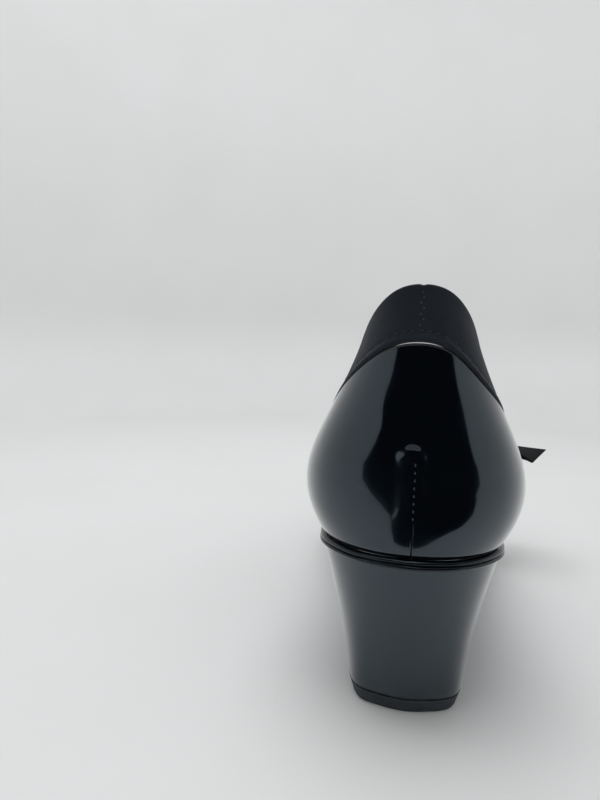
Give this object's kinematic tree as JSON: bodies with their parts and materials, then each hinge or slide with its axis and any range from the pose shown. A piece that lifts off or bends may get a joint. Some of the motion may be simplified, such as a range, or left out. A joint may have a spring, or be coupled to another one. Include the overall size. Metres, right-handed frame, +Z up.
{
  "type": "wedge heel shoe",
  "caption": "Right women's wedge heel shoe in black patent, with a stretch fabric collar and a flat ribbon bow on the vamp.",
  "frame": {"origin": "middle of the box's bottom, on the floor that the sole stands on", "axes": "+Y along the shoe to the toe, +X to the outer side of the right foot, +Z up"},
  "size_m": [0.1178, 0.2478, 0.132],
  "materials": {
    "patent": "black patent, high gloss",
    "stretch_fabric": "matt black stretch knit",
    "sole_rubber": "matt black rubber",
    "footbed": "matt black lining leather",
    "ribbon": "matt black woven ribbon"
  },
  "bodies": {
    "root": {"upper": "patent", "collar": "stretch_fabric", "rand": "patent", "insole": "footbed", "wedge": "patent", "outsole": "sole_rubber", "bow_knot": "ribbon", "bow_loop_outer": "ribbon", "bow_loop_inner": "ribbon", "bow_tail_outer": "ribbon", "bow_tail_inner": "ribbon"}
  },
  "joints": []
}
